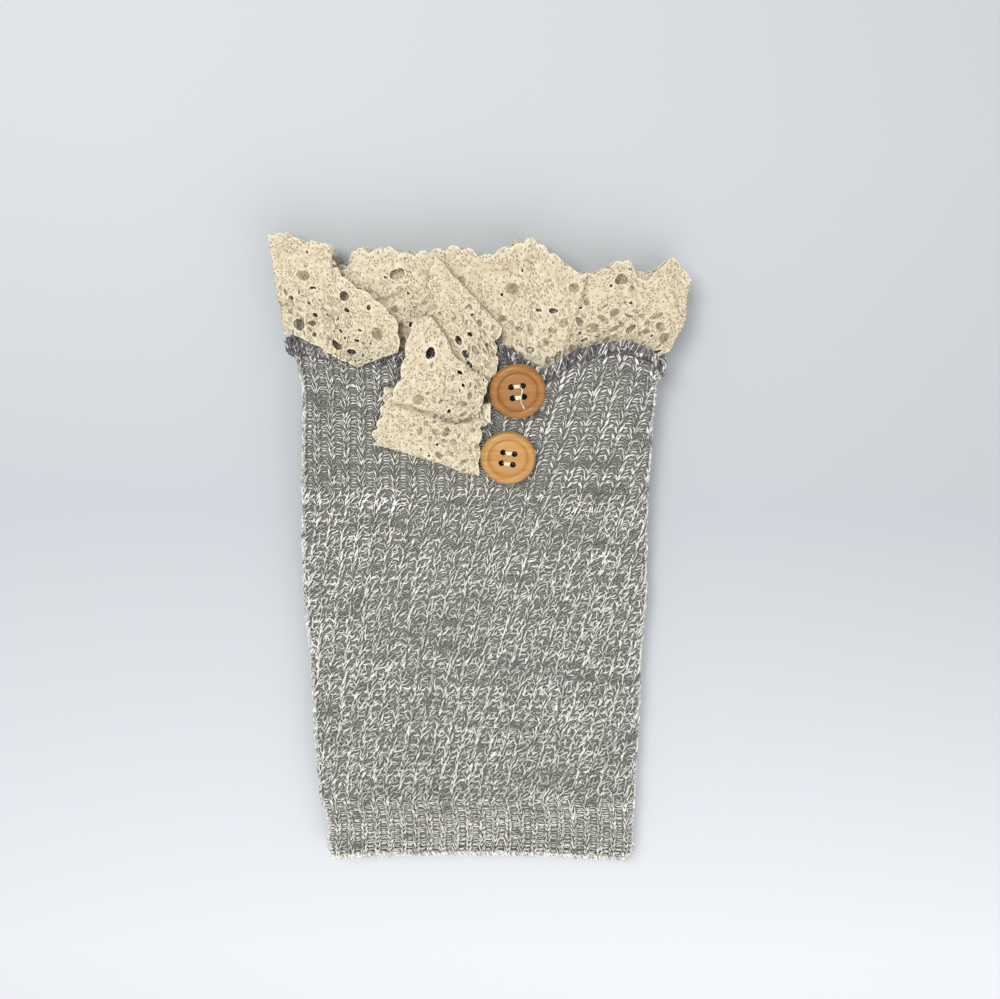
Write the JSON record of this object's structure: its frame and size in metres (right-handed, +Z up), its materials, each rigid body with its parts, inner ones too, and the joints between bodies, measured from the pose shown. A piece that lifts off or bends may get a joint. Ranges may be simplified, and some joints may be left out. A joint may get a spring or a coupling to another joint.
{
  "type": "pair of knitted boot cuffs",
  "caption": "Knitted boot cuffs with a ruffled lace top, a lace cascade and wooden buttons, laid flat one on the other.",
  "frame": {"origin": "on the surface that the pair rests on, under the middle of its box", "axes": "+Z up, out of the cuffs' fronts; +Y from the ribbed hem to the lace top; +X to the right as the front is seen"},
  "size_m": [0.1326, 0.224, 0.024],
  "materials": {
    "knit": "marled grey and cream slub yarn, ribbed at the top and hem",
    "lace": "cream cotton bobbin lace, matt",
    "wood": "pale varnished wood, satin"
  },
  "bodies": {
    "root": {"lower_knit_tube": "knit", "lower_lace_front_left": "lace", "lower_lace_front_middle": "lace", "lower_lace_front_right": "lace", "lower_lace_back": "lace", "lower_lace_cascade": "lace", "lower_button_top": "wood", "lower_button_bottom": "wood", "upper_knit_tube": "knit", "upper_lace_front_left": "lace", "upper_lace_front_middle": "lace", "upper_lace_front_right": "lace", "upper_lace_back": "lace", "upper_lace_cascade": "lace", "upper_button_top": "wood", "upper_button_bottom": "wood"}
  },
  "joints": []
}
